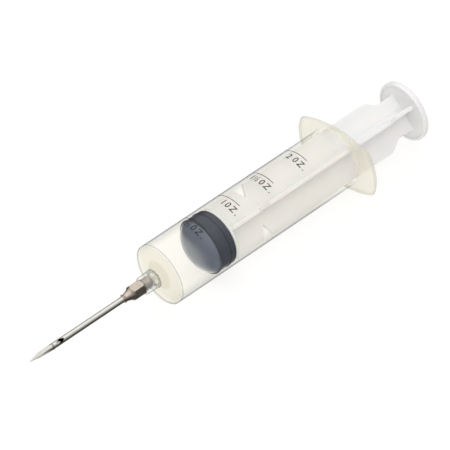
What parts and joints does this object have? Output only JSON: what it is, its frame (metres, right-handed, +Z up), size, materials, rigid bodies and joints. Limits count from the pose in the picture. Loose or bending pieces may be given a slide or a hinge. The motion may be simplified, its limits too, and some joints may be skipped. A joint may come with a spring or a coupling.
{
  "type": "meat injector",
  "caption": "Syringe-style marinade injector: a translucent barrel with a finger flange, a cross-ribbed plunger and a screw-on steel needle.",
  "frame": {"origin": "on the table plane under the middle of the injector's length, with the injector lying on the side of its finger flange", "axes": "+X along the axis from the needle's point to the thumb rest, +Y along the finger flange, +Z up"},
  "size_m": [0.2424, 0.0528, 0.0342],
  "materials": {
    "barrel_plastic": "milky translucent polypropylene, satin-gloss",
    "collar_plastic": "clear, glossy",
    "washer_rubber": "soft pale rubber",
    "hub_metal": "nickel-plated, turned and milled",
    "needle_steel": "polished stainless",
    "seal_rubber": "smooth blue-grey rubber",
    "rod_plastic": "white, satin"
  },
  "bodies": {
    "barrel": {"barrel": "barrel_plastic", "lock_collar": "collar_plastic"},
    "piston": {"piston_seal": "seal_rubber"},
    "plunger": {"plunger_rod": "rod_plastic"},
    "washer": {"hub_washer": "washer_rubber"},
    "needle": {"needle_hub": "hub_metal", "needle_tube": "needle_steel", "needle_point": "needle_steel"}
  },
  "joints": [
    {"name": "plunger_slide", "type": "slide", "parent": "barrel", "child": "piston", "axis": [1, 0, 0], "range_m": [-0.0211, 0.0735]},
    {"name": "rod_swivel", "type": "hinge", "parent": "piston", "child": "plunger", "pos_m": [0, 0, 0.0171], "axis": [1, 0, 0], "continuous": true},
    {"name": "needle_travel", "type": "slide", "parent": "barrel", "child": "washer", "axis": [-1, 0, 0], "range_m": [0, 0.0042]},
    {"name": "needle_unscrew", "type": "hinge", "parent": "washer", "child": "needle", "pos_m": [-0.055, 0, 0.0171], "axis": [-1, 0, 0], "range_deg": [0, 1080]}
  ],
  "couplings": [
    {"joint": "needle_unscrew", "follows": "needle_travel", "rad_per_m": 4488}
  ]
}
